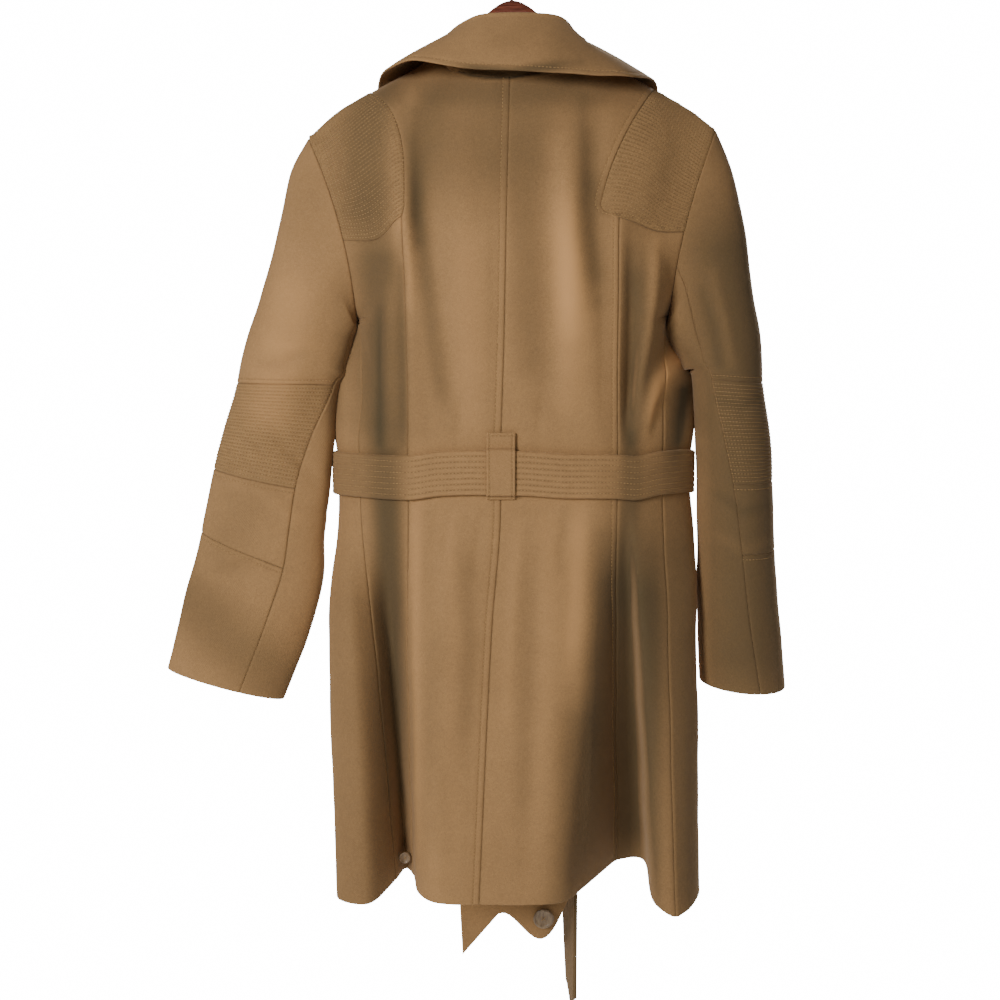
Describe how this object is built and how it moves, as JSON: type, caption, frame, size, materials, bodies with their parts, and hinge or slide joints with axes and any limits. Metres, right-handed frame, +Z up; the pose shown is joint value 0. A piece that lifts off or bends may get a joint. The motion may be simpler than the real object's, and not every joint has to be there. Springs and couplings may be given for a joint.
{
  "type": "wool wrap coat on a wooden hanger",
  "caption": "Long-sleeved wool wrap coat with a wide turned-over collar, quilted shoulder and elbow panels and a tied belt, hung on a wooden hanger.",
  "frame": {"origin": "inner top of the hanger's hook, where it rests on a rail", "axes": "+Z up, +Y toward the coat's back, +X toward the wearer's left"},
  "size_m": [0.7382, 0.2203, 1.3038],
  "materials": {
    "wool": "felted camel wool with a soft nap",
    "button": "smoothed horn",
    "wood": "dark red-brown, lacquered",
    "steel": "bright wire"
  },
  "bodies": {
    "root": {"back_left": "wool", "back_right": "wool", "belt_band": "wool", "belt_knot": "wool", "belt_loop_back": "wool", "belt_tail_long": "wool", "belt_tail_short": "wool", "button_large": "button", "button_small": "button", "collar": "wool", "front_left": "wool", "front_right": "wool", "hanger_body": "wood", "hanger_hook": "steel", "lapel_left": "wool", "lapel_right": "wool", "shoulder_patch_left": "wool", "shoulder_patch_right": "wool", "side_back_left": "wool", "side_back_right": "wool", "sleeve_left_elbow_plain": "wool", "sleeve_left_elbow_quilted": "wool", "sleeve_left_forearm": "wool", "sleeve_left_under": "wool", "sleeve_left_upper": "wool", "sleeve_right_elbow_plain": "wool", "sleeve_right_elbow_quilted": "wool", "sleeve_right_forearm": "wool", "sleeve_right_under": "wool", "sleeve_right_upper": "wool"}
  },
  "joints": []
}
